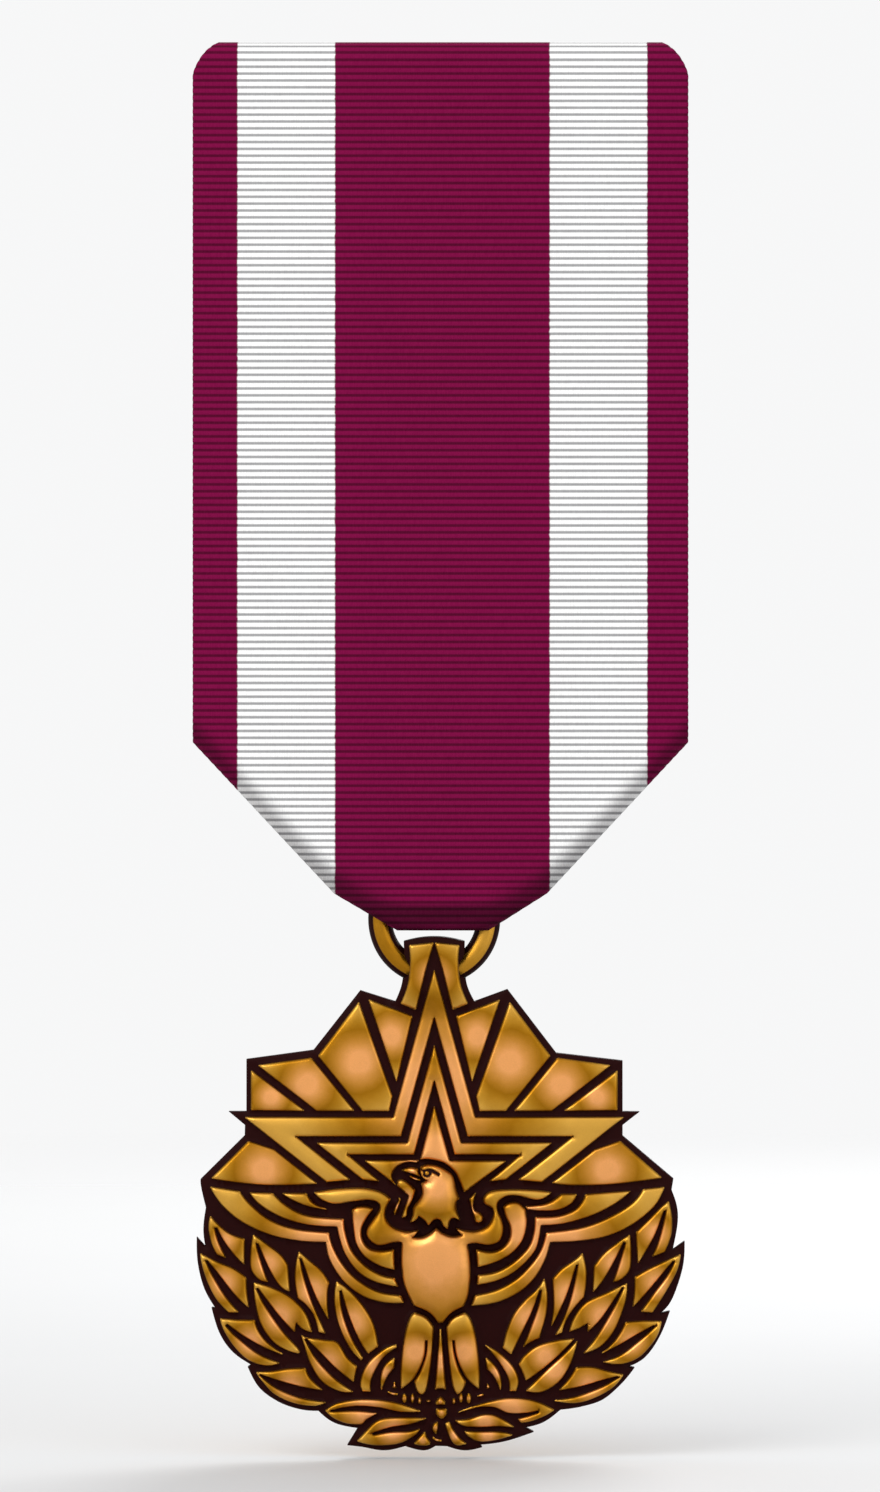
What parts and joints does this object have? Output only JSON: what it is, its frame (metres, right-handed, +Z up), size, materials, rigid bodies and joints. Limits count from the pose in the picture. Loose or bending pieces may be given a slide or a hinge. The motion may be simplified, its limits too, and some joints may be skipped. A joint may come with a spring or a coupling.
{
  "type": "military service medal",
  "caption": "Bronze eagle, star and laurel pendant on a ring, hung from a folded striped ribbon with a pin-back brooch.",
  "frame": {"origin": "on the flat back of the brooch plate, midway between hinge and catch", "axes": "+X to the viewer's right when facing the decorated side, +Y out of the back, +Z up towards the head of the ribbon"},
  "size_m": [0.035, 0.0075, 0.0998],
  "materials": {
    "brooch_brass": "stamped brass, lightly polished",
    "pin_steel": "drawn wire, bright",
    "ribbon_weave": "ribbed moire weave in crimson and white stripes",
    "sewing_thread": "twisted thread",
    "medal_bronze": "struck bronze, bright high relief and dark patinated ground"
  },
  "bodies": {
    "brooch": {"brooch_plate": "brooch_brass", "hinge_bracket": "brooch_brass", "hinge_rivet": "pin_steel", "catch_base": "brooch_brass"},
    "pin": {"pin_stem": "pin_steel"},
    "catch": {"catch_sleeve": "brooch_brass"},
    "ribbon": {"ribbon": "ribbon_weave", "seam_thread": "sewing_thread", "corner_tack_left": "sewing_thread", "corner_tack_right": "sewing_thread"},
    "ring": {"suspension_ring": "medal_bronze"},
    "pendant": {"pendant": "medal_bronze"}
  },
  "joints": [
    {"name": "pin_hinge", "type": "hinge", "parent": "brooch", "child": "pin", "pos_m": [-0.0136, 0.003, 0], "axis": [0, 0, 1], "range_deg": [0, 80]},
    {"name": "catch_turn", "type": "hinge", "parent": "brooch", "child": "catch", "pos_m": [0.0129, 0.003, 0], "axis": [1, 0, 0], "range_deg": [0, 85]},
    {"name": "ribbon_swing", "type": "hinge", "parent": "brooch", "child": "ribbon", "pos_m": [0, -0.0004, 0.0054], "axis": [1, 0, 0], "range_deg": [-60, 0]},
    {"name": "ring_turn", "type": "hinge", "parent": "ribbon", "child": "ring", "pos_m": [-0.00045, -0.00005, -0.05539], "axis": [0, 1, 0], "range_deg": [-10, 10]},
    {"name": "pendant_swing", "type": "hinge", "parent": "ring", "child": "pendant", "pos_m": [-0.00045, -0.00005, -0.05919], "axis": [1, 0, 0], "range_deg": [-40, 40]}
  ]
}
